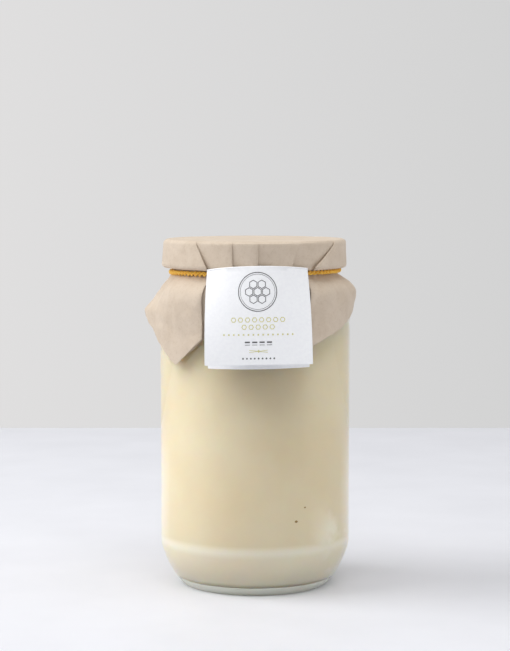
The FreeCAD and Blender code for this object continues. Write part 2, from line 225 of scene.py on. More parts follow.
table, tree, where, out = material("painted_table")
grain = add(tree, NOISE, inputs={"Scale": TABLE_CLOUDS, "Detail": 5.0},
            links={"Vector": where})
tone = add(tree, RAMP, links={"Fac": grain.outputs["Fac"]},
           stops=[(0.3, "#E6E7ED"), (0.7, "#EBECF2")])
shader = add(tree, PRINCIPLED, inputs={"Roughness": 0.55},
             links={"Base Color": tone.outputs["Color"]})
tree.links.new(shader.outputs[0], out.inputs["Surface"])

bpy.ops.object.select_all(action="DESELECT")
bpy.ops.mesh.primitive_cube_add(size=1, location=(0, (TABLE_BACK - TABLE_FRONT) / 2 * MM, -TABLE_DEPTH / 2))
floor = bpy.context.object
floor.name = "table_top"
floor.scale = (TABLE_WIDTH, (TABLE_BACK + TABLE_FRONT) * MM, TABLE_DEPTH)
bpy.ops.object.transform_apply(location=True, rotation=True, scale=True)
floor.data.materials.append(table)

# %% [markdown]
# ## Turning the glass
# A jar is blown in a mould, so both of its faces are surfaces of revolution. One outline runs from the
# middle of the foot up the outside, over the rim, and down the inside to the floor. It is turned by starting
# from a circle and extruding its edge from ring to ring, each scaled to the outline's radius, which keeps the
# mesh in clean rings. The heel, where the wall curves into the foot, shows most: its arc is long.

# %% Outline tools
TURNS = 160


def arc(start, end, radius, steps, side=1):
    """Points of an arc between two (radius, height) points; side 1 bulges to the right of the way."""
    (x0, z0), (x1, z1) = start, end
    dx, dz = x1 - x0, z1 - z0
    length = math.hypot(dx, dz)
    rise = math.sqrt(radius**2 - length**2 / 4)
    cx = (x0 + x1) / 2 - side * rise * dz / length
    cz = (z0 + z1) / 2 + side * rise * dx / length
    a0 = math.atan2(z0 - cz, x0 - cx)
    a1 = math.atan2(z1 - cz, x1 - cx)
    turn = (a1 - a0 + math.pi) % (2 * math.pi) - math.pi
    return [(cx + radius * math.cos(a0 + turn * i / steps), cz + radius * math.sin(a0 + turn * i / steps))
            for i in range(steps + 1)]


def blended(points, reach, steps=5):
    """Rounds the inner corners of an outline; reach gives how far each rounding starts from its corner."""
    result = [points[0]]
    for before, corner, after, away in zip(points, points[1:], points[2:], reach):
        if not away:
            result.append(corner)
            continue
        ends = []
        for other in (before, after):
            length = math.dist(corner, other)
            share = min(away / length, 0.49)
            ends.append(tuple(c + (o - c) * share for c, o in zip(corner, other)))
        for i in range(steps + 1):
            t = i / steps
            result.append(tuple((1 - t) ** 2 * a + 2 * t * (1 - t) * c + t * t * b
                                for a, c, b in zip(ends[0], corner, ends[1])))
    return result + [points[-1]]


def turned(name, outline):
    """A closed solid of revolution from (radius, height) points that start and end near the axis."""
    bpy.ops.object.select_all(action="DESELECT")
    first_radius, first_height = outline[0]
    bpy.ops.mesh.primitive_circle_add(vertices=TURNS, radius=first_radius * MM,
                                      location=(0, 0, first_height * MM), fill_type="NGON")
    piece = bpy.context.object
    piece.name = name
    bpy.ops.object.transform_apply(location=True, rotation=True, scale=True)
    bpy.ops.object.mode_set(mode="EDIT")
    bpy.ops.mesh.select_all(action="SELECT")
    bpy.ops.mesh.delete(type="ONLY_FACE")
    bpy.ops.mesh.select_all(action="SELECT")
    radius, height = outline[0]
    for next_radius, next_height in outline[1:]:
        bpy.ops.mesh.extrude_edges_move()
        factor = next_radius / radius
        bpy.ops.transform.resize(value=(factor, factor, 1), center_override=(0, 0, height * MM))
        bpy.ops.transform.translate(value=(0, 0, (next_height - height) * MM))
        radius, height = next_radius, next_height
    bpy.ops.mesh.edge_face_add()
    bpy.ops.mesh.select_all(action="DESELECT")
    bpy.ops.mesh.select_non_manifold()
    bpy.ops.mesh.edge_face_add()
    bpy.ops.mesh.select_all(action="SELECT")
    bpy.ops.mesh.normals_make_consistent(inside=False)
    bpy.ops.object.mode_set(mode="OBJECT")
    bpy.ops.object.shade_smooth_by_angle(angle=math.radians(40))
    print(name, len(piece.data.polygons), "faces")
    return piece


# %% The jar's outside and inside
FOOT_RADIUS = 34.9
FOOT_WIDTH = 3.0
PUSH_UP = 1.2
HEEL_HEIGHT = 19.6
HEEL_ROUND = 46.0
SHOULDER = 128.0
NECK = 142.0
NECK_RADIUS = 37.4
NECK_WALL = 2.8
POLE = 0.4  # the radius of the small cap that closes an outline at the axis
WALL_RINGS = (45.0, 90.0)  # two rings along the straight wall, to keep its faces from growing too long
WALL_TOP = 100.0
SHOULDER_ROUND = (7.0, 4.0)

outside = [(POLE, PUSH_UP), (FOOT_RADIUS - FOOT_WIDTH - 1.5, PUSH_UP), (FOOT_RADIUS - FOOT_WIDTH, 0.0),
           (FOOT_RADIUS - 0.6, 0.0)]
heel = arc((FOOT_RADIUS, 0.25), (BODY_RADIUS, HEEL_HEIGHT), HEEL_ROUND, 18)
outside += heel[1:-2]
outside += arc(heel[-3], (BODY_RADIUS, HEEL_HEIGHT + 3.0), 16.0, 6)[1:]
outside += [(BODY_RADIUS, height) for height in WALL_RINGS]
shoulder = [(BODY_RADIUS, WALL_TOP), (BODY_RADIUS, SHOULDER), (NECK_RADIUS, NECK), (NECK_RADIUS, RIM)]
outside += blended(shoulder, SHOULDER_ROUND, 6)[1:-1]
outside += [(NECK_RADIUS, RIM - 0.8), (NECK_RADIUS - 0.3, RIM - 0.2), (NECK_RADIUS - 0.9, RIM)]


def inside_outline(offset=0.0):
    """The inner face from the floor's middle up to the neck, moved into the glass by an offset."""
    radius = BODY_RADIUS - WALL + offset
    floor_level = BASE - offset
    rows = [(POLE, floor_level), (FOOT_RADIUS - 5.0, floor_level)]
    rows += blended([(FOOT_RADIUS - 5.0, floor_level), (FOOT_RADIUS + offset, floor_level),
                     (FOOT_RADIUS + 2.0 + offset, floor_level + 3.4)], [3.6], 5)[1:-1]
    lower = arc((FOOT_RADIUS + 2.0 + offset, floor_level + 3.4), (radius, HEEL_HEIGHT + 2.0),
                HEEL_ROUND - WALL, 14)
    rows += lower[:-1]
    rows += [(radius, HEEL_HEIGHT + 2.6)] + [(radius, height) for height in WALL_RINGS]
    return rows


inner_radius = BODY_RADIUS - WALL
inside = inside_outline()
upper = [(inner_radius, WALL_TOP), (inner_radius, SHOULDER), (NECK_RADIUS - NECK_WALL, NECK),
         (NECK_RADIUS - NECK_WALL, RIM)]
inside += blended(upper, SHOULDER_ROUND, 6)[1:]
glass_jar = turned("jar_glass", outside + inside[::-1])

# %% [markdown]
# ## Soda-lime glass
# Packing jars are soda-lime glass, clear with a faint green that shows only where the light crosses a lot of
# it, as in the foot. IOR 1.52, almost perfectly smooth. Lamps reach the honey through it by a transparent
# shadow, because a path tracer rarely finds a lamp through a bending surface.

# %% Glass material
GLASS_IOR = 1.52
GLASS_WAVES = 22.0  # the slight waves that a mould leaves, about 45 mm long

glass_material, tree, where, out = material("soda_lime_glass")
bumps = add(tree, NOISE, inputs={"Scale": GLASS_WAVES, "Detail": 1.0},
            links={"Vector": where})
wave = add(tree, "ShaderNodeBump", inputs={"Strength": 0.05, "Distance": 0.0008},
           links={"Height": bumps.outputs["Fac"]})
shader = add(tree, PRINCIPLED,
             inputs={"Base Color": linear("#F6FAF6"), "Roughness": 0.02, "IOR": GLASS_IOR,
                     "Transmission Weight": 1.0},
             links={"Normal": wave.outputs["Normal"]})
clear = add(tree, "ShaderNodeBsdfTransparent", inputs={"Color": linear("#F6F9F5")})
path = add(tree, "ShaderNodeLightPath")
mixed = add(tree, "ShaderNodeMixShader",
            links={0: path.outputs["Is Shadow Ray"], 1: shader.outputs[0], 2: clear.outputs[0]})
tree.links.new(mixed.outputs[0], out.inputs["Surface"])
glass_jar.data.materials.append(glass_material)

# %% [markdown]
# ## The glass at the foot
# The thick base gathers light from all round the jar and shows it as a pale grey-green band. A path tracer
# finds hardly any of that light, so the outside of the foot is a second glass, about two thirds of it pale
# and scattering. It is given to the faces of the foot ring, by their place.

# %% Foot glass
FOOT_TOP = 3.7
FOOT_STREAKS = 40.0  # streaks about 25 mm long

foot_material, tree, where, out = material("soda_lime_foot")
streak = add(tree, NOISE, inputs={"Scale": FOOT_STREAKS, "Detail": 2.0},
             links={"Vector": where})
tone = add(tree, RAMP, links={"Fac": streak.outputs["Fac"]},
           stops=[(0.35, "#F3F6E9"), (0.65, "#F9FBF2")])
shader = add(tree, PRINCIPLED,
             inputs={"Roughness": 0.12, "IOR": GLASS_IOR, "Transmission Weight": 0.35},
             links={"Base Color": tone.outputs["Color"]})
tree.links.new(shader.outputs[0], out.inputs["Surface"])
glass_jar.data.materials.append(foot_material)
for face in glass_jar.data.polygons:
    middle = face.center / MM
    if middle.z < FOOT_TOP and math.hypot(middle.x, middle.y) > FOOT_RADIUS - FOOT_WIDTH - 0.1:
        face.material_index = 1
print("foot:", sum(face.material_index for face in glass_jar.data.polygons), "faces")

# %% [markdown]
# ## Set honey
# Creamed honey is pale, opaque and close to buttercream. It is turned from the glass's own inner
# outline, a little way into the wall so that no air line shows. Against the glass it sets unevenly, so its
# colour has soft clouds, and paler frosted patches low down where it has drawn away from the wall. Its colour
# also holds painted light: pale strips of painted reflection down both sides, and a paler heel with a band of
# painted reflection where the glass bends into the foot.

# %% Honey body
INTO_WALL = 0.2
CREEP = 1.2

honey_outline = inside_outline(INTO_WALL)
honey_radius = inner_radius + INTO_WALL
honey_outline += [(honey_radius, 118.0), (honey_radius - 0.1, 126.0), (honey_radius - 1.2, HONEY_LEVEL)]
honey_outline += [(honey_radius - 2.4, HONEY_LEVEL - 0.2), (honey_radius - 5.0, HONEY_LEVEL - CREEP),
                  (12.0, HONEY_LEVEL - CREEP - 0.2), (POLE, HONEY_LEVEL - CREEP - 0.2)]
honey = turned("set_honey", honey_outline)

# %% Honey material
HONEY_CLOUDS = 26.0  # soft clouds, about 38 mm across
PATCH_GRAIN = 60.0  # ragged edges of the frosted patch, about 17 mm apart
PATCH_TOP, PATCH_FULL = 0.044, 0.030  # heights between which the patch comes in, in metres
PATCH_LEFT, PATCH_RIGHT = 0.024, 0.034
# Painted reflection: pale strips down both sides of the honey, where the glass's edge would show the bright
# room.
PAINTED_EDGE_START, PAINTED_EDGE_FULL = 0.0385, 0.0425  # how far out the pale strips at both sides begin
PAINTED_EDGE_TOP, PAINTED_EDGE_LOW = 0.080, 0.050
# Painted light: the heel is paler in place of the light that its shade takes away, with a bright band of
# painted reflection where the glass bends into the foot.
PAINTED_HEEL_TOP = 0.030  # the height that the heel's pale band is a share of

honey_material, tree, where, out = material("creamed_honey")
clouds = add(tree, NOISE, inputs={"Scale": HONEY_CLOUDS, "Detail": 4.0, "Roughness": 0.5},
             links={"Vector": where})
base = add(tree, RAMP, links={"Fac": clouds.outputs["Fac"]},
           stops=[(0.35, "#E9D9BB"), (0.65, "#EEE1C7")])
axes = add(tree, "ShaderNodeSeparateXYZ", links={"Vector": where})
low = add(tree, RANGE, inputs={"From Min": PATCH_TOP, "From Max": PATCH_FULL},
          links={"Value": axes.outputs["Z"]})
right = add(tree, RANGE, inputs={"From Min": PATCH_LEFT, "From Max": PATCH_RIGHT},
            links={"Value": axes.outputs["X"]})
edge_noise = add(tree, NOISE, inputs={"Scale": PATCH_GRAIN, "Detail": 3.0},
                 links={"Vector": where})
ragged = add(tree, RANGE, inputs={"From Min": 0.42, "From Max": 0.56},
             links={"Value": edge_noise.outputs["Fac"]})
frost_and_painted_light = add(tree, MATH, {"operation": "MULTIPLY"},
            links={0: low.outputs[0], 1: right.outputs[0]})
frost_and_painted_light = add(tree, MATH, {"operation": "MULTIPLY"},
            links={0: frost_and_painted_light.outputs[0], 1: ragged.outputs[0]})
# Painted reflection at both sides: pale towards the outline, strongest below 50 mm and gone above 80 mm.
side = add(tree, MATH, {"operation": "ABSOLUTE"}, links={0: axes.outputs["X"]})
side = add(tree, RANGE, inputs={"From Min": PAINTED_EDGE_START, "From Max": PAINTED_EDGE_FULL},
           links={"Value": side.outputs[0]})
below = add(tree, RANGE, inputs={"From Min": PAINTED_EDGE_TOP, "From Max": PAINTED_EDGE_LOW, "To Max": 0.7},
            links={"Value": axes.outputs["Z"]})
side = add(tree, MATH, {"operation": "MULTIPLY"},
           links={0: side.outputs[0], 1: below.outputs[0]})
frost_and_painted_light = add(tree, MATH, {"operation": "MAXIMUM"},
            links={0: frost_and_painted_light.outputs[0], 1: side.outputs[0]})
# Painted light at the heel: about half-way to the pale colour below 19 mm, fully pale at 21 mm as a painted
# reflection band, none above 25 mm.
painted_heel_height = add(tree, RANGE, inputs={"From Min": 0.0, "From Max": PAINTED_HEEL_TOP},
                 links={"Value": axes.outputs["Z"]})
bend = add(tree, RAMP, links={"Fac": painted_heel_height.outputs[0]},
           stops=[(0.0, "#C0C0C0"), (0.62, "#C4C4C4"), (0.70, "#FFFFFF"), (0.75, "#E8E8E8"),
                  (0.82, "#000000")])
frost_and_painted_light = add(tree, MATH, {"operation": "MAXIMUM"},
            links={0: frost_and_painted_light.outputs[0], 1: bend.outputs["Color"]})
# One pale colour paints both the real frost and the painted reflection and painted light of the masks above.
frost_and_painted_light_mix = add(tree, "ShaderNodeMix", {"data_type": "RGBA"}, {7: linear("#FFF2E4")},
              {0: frost_and_painted_light.outputs[0], 6: base.outputs["Color"]})
shader = add(tree, PRINCIPLED,
             inputs={"Roughness": 0.6, "Subsurface Weight": 0.8, "Subsurface Radius": (1.0, 0.75, 0.4),
                     "Subsurface Scale": 0.012},
             links={"Base Color": frost_and_painted_light_mix.outputs[2]})
tree.links.new(shader.outputs[0], out.inputs["Surface"])
honey.data.materials.append(honey_material)

# %% [markdown]
# ## Specks in the honey
# Two dark flecks of pollen lie against the glass, low at the right. Each is a small ball, flattened where it
# meets the wall, which is enough for something under two millimetres across.

# %% Specks
SPECKS = ((25.8, 35.6, 0.8), (31.8, 41.8, 0.55))  # azimuth, height and half width
SPECK_FORM = (1.0, 0.22, 0.7)
SPECK_MOTTLE = 3000.0  # mottling about 0.3 mm across

speck_material, tree, where, out = material("pollen_speck")
mottle = add(tree, NOISE, inputs={"Scale": SPECK_MOTTLE},
             links={"Vector": where})
tone = add(tree, RAMP, links={"Fac": mottle.outputs["Fac"]},
           stops=[(0.3, "#8A6A2C"), (0.7, "#A98A48")])
shader = add(tree, PRINCIPLED, inputs={"Roughness": 0.7},
             links={"Base Color": tone.outputs["Color"]})
tree.links.new(shader.outputs[0], out.inputs["Surface"])
specks = []
for azimuth, height, width in SPECKS:
    turn = math.radians(azimuth)
    place = Vector((math.sin(turn), -math.cos(turn), 0)) * (honey_radius - 0.05) + Vector((0, 0, height))
    bpy.ops.object.select_all(action="DESELECT")
    bpy.ops.mesh.primitive_ico_sphere_add(subdivisions=3, radius=width * MM, location=place * MM,
                                          rotation=(0, 0, turn))
    speck = bpy.context.object
    speck.name = f"honey_speck_{len(specks) + 1}"
    speck.scale = SPECK_FORM
    bpy.ops.object.transform_apply(location=True, rotation=True, scale=True)
    bpy.ops.object.shade_smooth()
    speck.data.materials.append(speck_material)
    specks.append(speck)
print("specks:", len(specks))

# %% [markdown]
# ## The pleated paper
# The cover is one square of kraft paper. Its middle lies flat on the lid. Past the lid's edge there is more
# paper than the lid is round, so it is folded over itself in pleats, nipped in by the twine, and below that
# it hangs free as a skirt with four corners. The mesh follows the sheet: columns run from the middle to the
# edge, and at each pleat they double back under the paper beside them, so the folds are real layers. A few
# named folds are listed one by one, as a hand would fold them; the rest of the form is a formula.

# %% Where the folds and corners are
# Each pleat: azimuth at the lid's edge, at its foot and in the skirt, then which side lies on top (-1 left,
# 1 right) and how far it laps at the foot, in millimetres. Azimuth 0 is the front, positive to the right.
PLEATS = [
    (-158.0, -163.0, -166.0, -1, 5.0),
    (-124.0, -118.0, -116.0, 1, 4.5),
    (-84.0, -88.0, -91.0, 1, 2.6),
    (-39.7, -30.6, -31.0, -1, 6.5),
    (-13.8, -13.5, -13.0, -1, 2.4),
    (1.9, 1.5, 2.0, -1, 2.0),
    (27.0, 22.0, 16.0, -1, 2.6),
    (60.7, 38.5, 27.0, 1, 8.0),
    (98.0, 104.0, 105.0, 1, 4.0),
    (131.0, 138.0, 141.0, -1, 5.0),
    (166.0, 160.0, 158.0, 1, 4.5),
]
CORNERS = [(-50.0, 41.5), (20.0, 35.0), (128.0, 40.5), (-141.0, 41.0)]
SIDES = [(-92.0, 17.5), (-14.0, 17.5), (91.0, 15.5), (173.0, 18.5)]
SIDE_DROP = 17.5
SKIRT_START = 0.8
LAYER = 0.55
PAPER_THICKNESS = 0.16
BAND_RADIUS = LID_RADIUS + 0.35
PAPER_NECK = TWINE_RADIUS - TWINE_WIDTH / 2 - 0.45
SKIRT_HANG = BODY_RADIUS + 1.6
LEFT_SIDE = -92  # where the sheet's free side stands off
STIFF_WIDTH = 44
SWING_RATIO, SWING_POWER = 0.477, 1.5  # how soon the skirt swings out below the twine
LIFT_BROAD, LIFT_TIP = 1.4, 4.2
BELLY, TUCK, PRESS = 1.1, 0.9, 1.2


def smooth(x):
    """Eases from 0 to 1, level at both ends."""
    x = min(max(x, 0.0), 1.0)
    return x * x * (3 - 2 * x)


def bump(angle, centre, width):
    """1 at an azimuth and 0 from a width on either side of it, eased between."""
    away = abs((angle - centre + 180) % 360 - 180)
    return smooth(1 - away / width)


def lower_edge(angle):
    """How far the skirt hangs below the twine: straight from each side's middle to each corner."""
    ring = sorted(CORNERS + SIDES)
    ring = [(ring[-1][0] - 360, ring[-1][1])] + ring + [(ring[0][0] + 360, ring[0][1])]
    angle = (angle + 180) % 360 - 180
    for (a, low_drop), (b, high_drop) in zip(ring, ring[1:]):
        if a <= angle <= b:
            return low_drop + (high_drop - low_drop) * (angle - a) / (b - a)


def skirt_radius(angle, drop):
    """Where the skirt hangs. At the left the sheet's free side stands off stiff and straight."""
    swing = SKIRT_HANG - PAPER_NECK
    full = drop / SIDE_DROP
    stiff = smooth(1.35 * bump(angle, LEFT_SIDE, STIFF_WIDTH))
    soft_spread = 1 - math.exp(-((drop / (SWING_RATIO * swing)) ** SWING_POWER))
    spread = soft_spread + (min(full, 1.0) ** 0.85 - soft_spread) * stiff
    lift = (LIFT_BROAD * bump(angle, -72, 42) + LIFT_TIP * bump(angle, -95, 22)) * min(full, 1.0) ** 1.6
    belly = BELLY * bump(angle, 88, 60) * math.exp(-((full - 0.5) ** 2) / 0.08)
    tuck = TUCK * smooth(full - 0.6) * (1 - bump(angle, LEFT_SIDE, 45))
    press = PRESS * bump(angle, 0, 45) * spread * smooth(2 * (0.9 - full))
    return PAPER_NECK + swing * spread + lift + belly - tuck - press


# %% Rows and columns of the sheet
EDGE = 1.7
FOOT = LID_FOOT - 0.65
FOOT_ROUND = 1.5
BAND_ROWS = 12
SKIRT_ROWS = 26
PANEL_STEP = 1.4  # degrees between a panel's columns


def paper_rows():
    """Rows from the middle out: (radius, height) or a share of the skirt, with depth and lap."""
    rows = []
    for share in (0.0, 0.2, 0.4, 0.6, 0.75, 0.86, 0.93):
        rows.append(("ring", (BAND_RADIUS * share, PAPER_TOP), 0.0, 0.0))
    for i in range(7):
        turn = math.pi / 2 * i / 6
        place = (BAND_RADIUS - EDGE + EDGE * math.sin(turn), PAPER_TOP - EDGE + EDGE * math.cos(turn))
        rows.append(("ring", place, 0.02 + 0.14 * i / 6, 0.05 + 0.30 * i / 6))
    for i in range(1, BAND_ROWS + 1):
        t = i / BAND_ROWS
        height = PAPER_TOP - EDGE + (FOOT + FOOT_ROUND - PAPER_TOP + EDGE) * t
        rows.append(("ring", (BAND_RADIUS, height), 0.16 + 0.84 * t, 0.35 + 0.65 * t))
    for i in range(1, 5):
        turn = math.pi / 2 * i / 4
        place = (BAND_RADIUS - FOOT_ROUND * (1 - math.cos(turn)), FOOT + FOOT_ROUND * (1 - math.sin(turn)))
        rows.append(("ring", place, 1.0, 1.0 - 0.25 * i / 4))
    rows.append(("ring", ((BAND_RADIUS + PAPER_NECK) / 2, FOOT - 0.05), 1.05, 0.5))
    rows.append(("ring", (PAPER_NECK + 0.9, FOOT - 0.15), 1.1, 0.3))
    rows.append(("ring", (PAPER_NECK + 0.25, FOOT - 0.5), 1.15, 0.2))
    rows.append(("ring", (PAPER_NECK, TWINE_LEVEL + 0.5), 1.2, 0.15))
    rows.append(("ring", (PAPER_NECK, TWINE_LEVEL - SKIRT_START), 1.25, 0.15))
    for i in range(1, SKIRT_ROWS + 1):
        t = i / SKIRT_ROWS
        rows.append(("skirt", t, 1.3 + 0.7 * t, 0.25 + 0.75 * smooth(t * 3)))
    return rows


def pleat_line(pleat, depth):
    """A pleat's azimuth: depth is 0 at the lid's edge, 1 at its foot and 2 in the skirt."""
    if depth <= 1:
        return pleat[0] + (pleat[1] - pleat[0]) * depth
    return pleat[1] + (pleat[2] - pleat[1]) * min(depth - 1, 1)


def sheet_columns():
    """The sheet's columns in order round it: plain ones across each panel, doubled ones at each fold.

    A panel's are ("panel", left pleat, right pleat, share of the panel, layer at its left, at its right),
    and a fold's are ("fold", pleat, None, share of its lap, layer, layer).
    """
    columns = []
    for k, left in enumerate(PLEATS):
        right = PLEATS[(k + 1) % len(PLEATS)]
        widest = max((right[row] - left[row]) % 360 for row in range(3))
        steps = max(6, round(widest / PANEL_STEP))
        start = 2.0 if left[3] > 0 else 0.0
        end = 2.0 if right[3] < 0 else 0.0
        for i in range(steps + 1):
            columns.append(("panel", left, right, i / steps, start, end))
        # the fold at the right-hand pleat, from this panel's last column to the next panel's first
        if right[3] < 0:
            laps = [(0.05, 1.9), (0.06, 1.5), (0.0, 1.15), (-0.35, 1.0), (-0.7, 1.0), (-0.98, 0.9),
                    (-1.05, 0.6), (-1.0, 0.25), (-0.85, 0.05), (-0.4, 0.0), (-0.1, 0.0)]
        else:
            laps = [(0.1, 0.0), (0.4, 0.0), (0.85, 0.05), (1.0, 0.25), (1.05, 0.6), (0.98, 0.9),
                    (0.7, 1.0), (0.35, 1.0), (0.0, 1.15), (-0.06, 1.5), (-0.05, 1.9)]
        for lap, layer in laps:
            columns.append(("fold", right, None, lap, layer, layer))
    return columns


def column_place(column, depth, opened):
    """A column's azimuth and layer in a row; opened is how wide the folds lap there, 0 to 1."""
    kind, left, right, share, start, end = column
    if kind == "fold":
        width = math.degrees(left[4] * opened / 44.0)
        return pleat_line(left, depth) + share * width, start
    a = pleat_line(left, depth)
    width = (pleat_line(right, depth) - a) % 360
    layer = start + (end - start) * smooth(share * 1.15 - 0.08)
    crown = 0.35 * math.sin(math.pi * share) ** 0.7
    return a + width * share, layer + crown


# %% Build the sheet
RUFFLE = 0.26
CREASE = 0.30
CREASE_WIDTH = 0.07
FRONT_LEAN = 2.1
FLARE = 0.20
PANEL_LIFT = 0.4  # how much of a layer's height shows where the sheet lies flat


def flare_side(column):
    """The fold that a panel's column lies on top of, and how near it is: its edge flares away."""
    _, left, right, share = column[:4]
    at_left = smooth(1 - share / 0.3) if left[3] > 0 else 0.0
    at_right = smooth(1 - (1 - share) / 0.3) if right[3] < 0 else 0.0
    return (left, at_left) if at_left > at_right else (right, at_right)


def paper_point(column, row):
    """A point of the sheet: its place by the folds, then ripples, creases and the twine's gathers."""
    kind, value, depth, opened = row
    angle, layer = column_place(column, depth, opened)
    if kind == "ring":
        radius, height = value
        drop = 0
    else:
        drop = value * lower_edge(angle)
        radius = skirt_radius(angle, drop)
        height = TWINE_LEVEL - SKIRT_START - drop
    nearest, reach = (column[1], 1.0) if column[0] == "fold" else flare_side(column)
    stand = LAYER * layer * opened * (1 + FLARE * (nearest[4] - 2.0) * reach * opened)
    flat = kind == "ring" and height > PAPER_TOP - 0.5
    if kind == "ring" and height > FOOT:
        radius += FRONT_LEAN * bump(angle, 8, 50) * (height - FOOT) / (PAPER_TOP - FOOT) * (0 if flat else 1)
    turn = math.radians(angle)
    if flat:
        height += PANEL_LIFT * stand
    else:
        radius += stand
    place = Vector((radius * math.sin(turn), -radius * math.cos(turn), height))
    loose = 0.35 if kind == "ring" else smooth(drop / 8)
    ripple = noise.noise(place * 0.11) * 0.9 + noise.noise(place * 0.32) * 0.35
    outward = Vector((math.sin(turn), -math.cos(turn), 0)) if not flat else Vector((0, 0, 0.45))
    near_twine = math.exp(-((place.z - TWINE_LEVEL + 1.5) ** 2) / 26.0)
    apart = noise.voronoi(place * 0.05 + Vector((3.1, 0, 0)))[0]
    crease = -CREASE * math.exp(-(((apart[1] - apart[0]) / CREASE_WIDTH) ** 2)) * (0 if flat else 1)
    gather = RUFFLE * near_twine * math.sin(turn * 61 + 3 * noise.noise(place * 0.2))
    if kind == "ring" and not flat and height > FOOT + 0.5:
        gather = 0
    return place + outward * (ripple * loose * 0.6 + gather + crease * loose)


def grid_object(name, rows, wrap):
    """A flat grid folded to rows of points in millimetres; wrap joins its last column to its first."""
    if wrap:
        rows = [row + row[:1] for row in rows]
    bpy.ops.object.select_all(action="DESELECT")
    bpy.ops.mesh.primitive_grid_add(x_subdivisions=len(rows[0]) - 1, y_subdivisions=len(rows) - 1, size=1)
    made = bpy.context.object
    made.name = name
    places = [c * MM for row in rows for point in row for c in point]
    made.data.vertices.foreach_set("co", places)
    bpy.ops.object.mode_set(mode="EDIT")
    bpy.ops.mesh.select_all(action="SELECT")
    bpy.ops.mesh.remove_doubles(threshold=1e-7)
    bpy.ops.mesh.normals_make_consistent(inside=False)
    bpy.ops.object.mode_set(mode="OBJECT")
    return made


def thicken(piece, thickness):
    """Gives a surface a thickness in millimetres, half to each side."""
    bpy.ops.object.modifier_add(type="SOLIDIFY")
    piece.modifiers[-1].thickness = thickness * MM
    piece.modifiers[-1].offset = 0
    bpy.ops.object.modifier_apply(modifier=piece.modifiers[-1].name)


columns = sheet_columns()
paper = grid_object("kraft_cover", [[paper_point(c, r) for c in columns] for r in paper_rows()], True)
thicken(paper, PAPER_THICKNESS)
bpy.ops.object.shade_smooth_by_angle(angle=math.radians(50))
print("paper:", len(paper.data.polygons), "faces")

# %% [markdown]
# ## Kraft paper
# Bleached kraft: matt, pale brown, with long fibres that show as faint flecks and a slight unevenness from
# the paper machine. The flecks are drawn about 1 mm long, coarser than real fibres, so that they show.

# %% Paper material
KRAFT_MOTTLE = 120.0  # unevenness about 8 mm across
KRAFT_FIBRES = 900.0

kraft, tree, where, out = material("pale_kraft_paper")
mottle = add(tree, NOISE, inputs={"Scale": KRAFT_MOTTLE, "Detail": 4.0, "Roughness": 0.6},
             links={"Vector": where})
fibres = add(tree, NOISE, inputs={"Scale": KRAFT_FIBRES, "Detail": 3.0, "Distortion": 0.6},
             links={"Vector": where})
tone = add(tree, RAMP, links={"Fac": mottle.outputs["Fac"]},
           stops=[(0.35, "#D0BFAB"), (0.65, "#D8C8B5")])
fleck = add(tree, RAMP, links={"Fac": fibres.outputs["Fac"]},
            stops=[(0.26, "#D9CBB9"), (0.50, "#FFFFFF")])
mixed = add(tree, "ShaderNodeMix", {"data_type": "RGBA", "blend_type": "MULTIPLY"}, {0: 0.22},
            {6: tone.outputs["Color"], 7: fleck.outputs["Color"]})
rough = add(tree, "ShaderNodeBump", inputs={"Strength": 0.14, "Distance": 0.0002},
            links={"Height": fibres.outputs["Fac"]})
shader = add(tree, PRINCIPLED,
             inputs={"Roughness": 0.78, "Specular IOR Level": 0.35, "Sheen Weight": 0.08},
             links={"Base Color": mixed.outputs[2], "Normal": rough.outputs["Normal"]})
tree.links.new(shader.outputs[0], out.inputs["Surface"])
paper.data.materials.append(kraft)

# %% [markdown]
# ## Twine
# Cotton twine of two plies, dyed mustard. Each ply is a tube that winds round the ring's centre line, so the
# two plies twist about each other as real ones do. A few loose hairs stand off it.

# %% Twine
PLY_RADIUS = 0.66
PLY_SPACE = 0.60
PLY_TURNS = 48
PLY_STEPS = PLY_TURNS * 10
PLY_SIDES = 8


def twine_rise(around):
    """The twine doesn't lie quite level: it rises at the right and in front."""
    return 0.5 * math.sin(around) + 0.4 * math.cos(around)


def ply(name, phase):
    """One ply, as a closed tube that winds round the ring's centre line from a phase."""
    rows = []
    for i in range(PLY_STEPS):
        around = 2 * math.pi * i / PLY_STEPS
        twist = phase + PLY_TURNS * around
        wobble = 0.12 * noise.noise(Vector((math.sin(around) * 9, math.cos(around) * 9, phase)))
        radius = TWINE_RADIUS + 0.8 * PLY_SPACE * math.cos(twist) + wobble
        height = TWINE_LEVEL + PLY_SPACE * math.sin(twist) + twine_rise(around) + wobble
        centre = Vector((radius * math.sin(around), -radius * math.cos(around), height))
        out_way = Vector((math.sin(around), -math.cos(around), 0))
        row = []
        for s in range(PLY_SIDES):
            turn = 2 * math.pi * s / PLY_SIDES
            across = out_way * math.cos(turn) + Vector((0, 0, 1)) * math.sin(turn)
            row.append(centre + across * PLY_RADIUS)
        rows.append(row)
    rows.append(rows[0])
    made = grid_object(name, rows, True)
    bpy.ops.object.shade_smooth()
    return made


plies = [ply("twine_ply_a", 0.0), ply("twine_ply_b", math.pi)]
print("twine:", [len(strand.data.polygons) for strand in plies], "faces")

# %% [markdown]
# ## Loose hairs on the twine
# Cotton sheds short hairs that catch the light and soften the twine's edge. There are hundreds, each only a
# few faces, so they are written straight into one mesh: operators would take far longer for the same shape.

# %% Loose hairs
HAIRS = 420
HAIR_RADIUS = 0.035
HAIR_STEPS = 5
HAIR_CORNERS = (0.0, 2.1, 4.2)
draw = random.Random(7)


